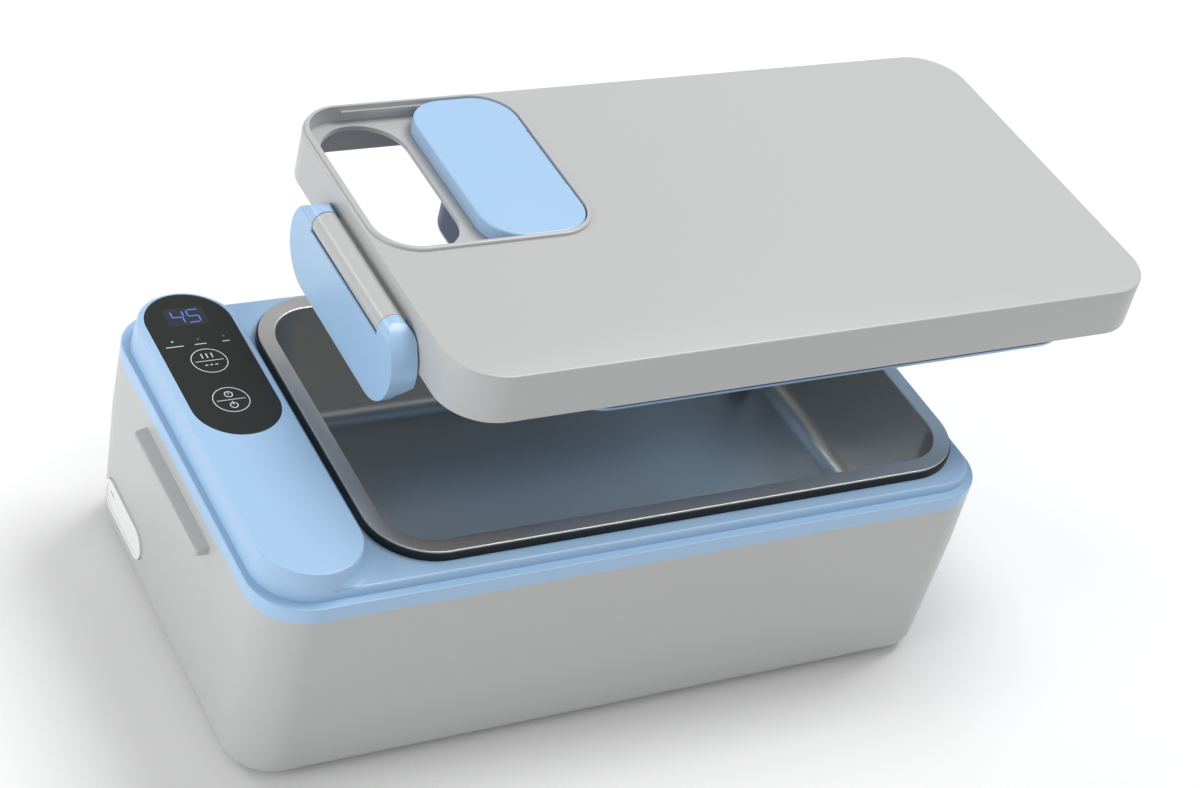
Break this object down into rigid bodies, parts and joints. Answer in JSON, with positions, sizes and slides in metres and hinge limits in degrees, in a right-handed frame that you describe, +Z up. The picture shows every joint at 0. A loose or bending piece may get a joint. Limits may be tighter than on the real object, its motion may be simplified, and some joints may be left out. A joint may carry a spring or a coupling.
{
  "type": "cordless heated lunch box",
  "caption": "Cordless heated lunch box: long rounded tub, steel food tray, raised touch panel, and a lift-off lid with a latch and a sliding cover over the panel window.",
  "frame": {"origin": "centre of the base's foot print, on the surface that the feet stand on", "axes": "+X along the box, away from the touch panel and the latch; -Y to the front; +Z up"},
  "size_m": [0.3135, 0.1582, 0.1325],
  "materials": {
    "grey_plastic": "satin moulded",
    "blue_plastic": "satin moulded",
    "zinc_steel": "plated",
    "white_silicone": "soft matt",
    "black_silicone": "soft matt",
    "black_panel": "gloss",
    "clear_lens": "clear",
    "board": "solder mask",
    "black_coating": "non-stick coating",
    "heater_alloy": "heater laminate",
    "felt": "needle felt",
    "dark_plastic": "moulded",
    "cell_sleeve": "shrink sleeve",
    "brushed_tray": "fine satin"
  },
  "bodies": {
    "base": {"base_tub": "grey_plastic", "deck_frame": "blue_plastic", "bottom_cover": "grey_plastic", "bottom_screws": "zinc_steel", "rubber_feet": "white_silicone", "touch_panel": "black_panel", "display_module": "black_panel", "indicator_lenses": "clear_lens", "control_board": "board", "heating_well": "black_coating", "tray_seat_ring": "black_silicone", "heater_plate": "heater_alloy", "thermal_cutout": "black_panel", "well_insulation": "felt", "battery_cradle": "dark_plastic", "battery_cells": "cell_sleeve", "power_board": "board", "charge_socket": "zinc_steel"},
    "port_cover": {"charge_port_cover": "white_silicone"},
    "tray": {"food_tray": "brushed_tray"},
    "lid": {"lid_shell": "grey_plastic", "inner_lid": "blue_plastic", "lid_gasket": "white_silicone", "latch_pin": "zinc_steel"},
    "slider": {"panel_cover": "blue_plastic"},
    "latch_body": {"latch": "blue_plastic"}
  },
  "joints": [
    {"name": "lid_lift", "type": "slide", "parent": "base", "child": "lid", "axis": [0.9163, 0.3132, 0.2496], "range_m": [-0.0645, 0.06]},
    {"name": "tray_lift", "type": "slide", "parent": "base", "child": "tray", "axis": [0, 0, 1], "range_m": [0, 0.02]},
    {"name": "cover_slide", "type": "slide", "parent": "lid", "child": "slider", "axis": [-1, 0, 0], "range_m": [0, 0.0349]},
    {"name": "latch_hinge", "type": "hinge", "parent": "lid", "child": "latch_body", "pos_m": [-0.0706, 0.0157, 0.1221], "axis": [0, 1, 0], "range_deg": [0, 130]},
    {"name": "port_pull", "type": "slide", "parent": "base", "child": "port_cover", "axis": [-1, 0, 0], "range_m": [0, 0.012]}
  ]
}
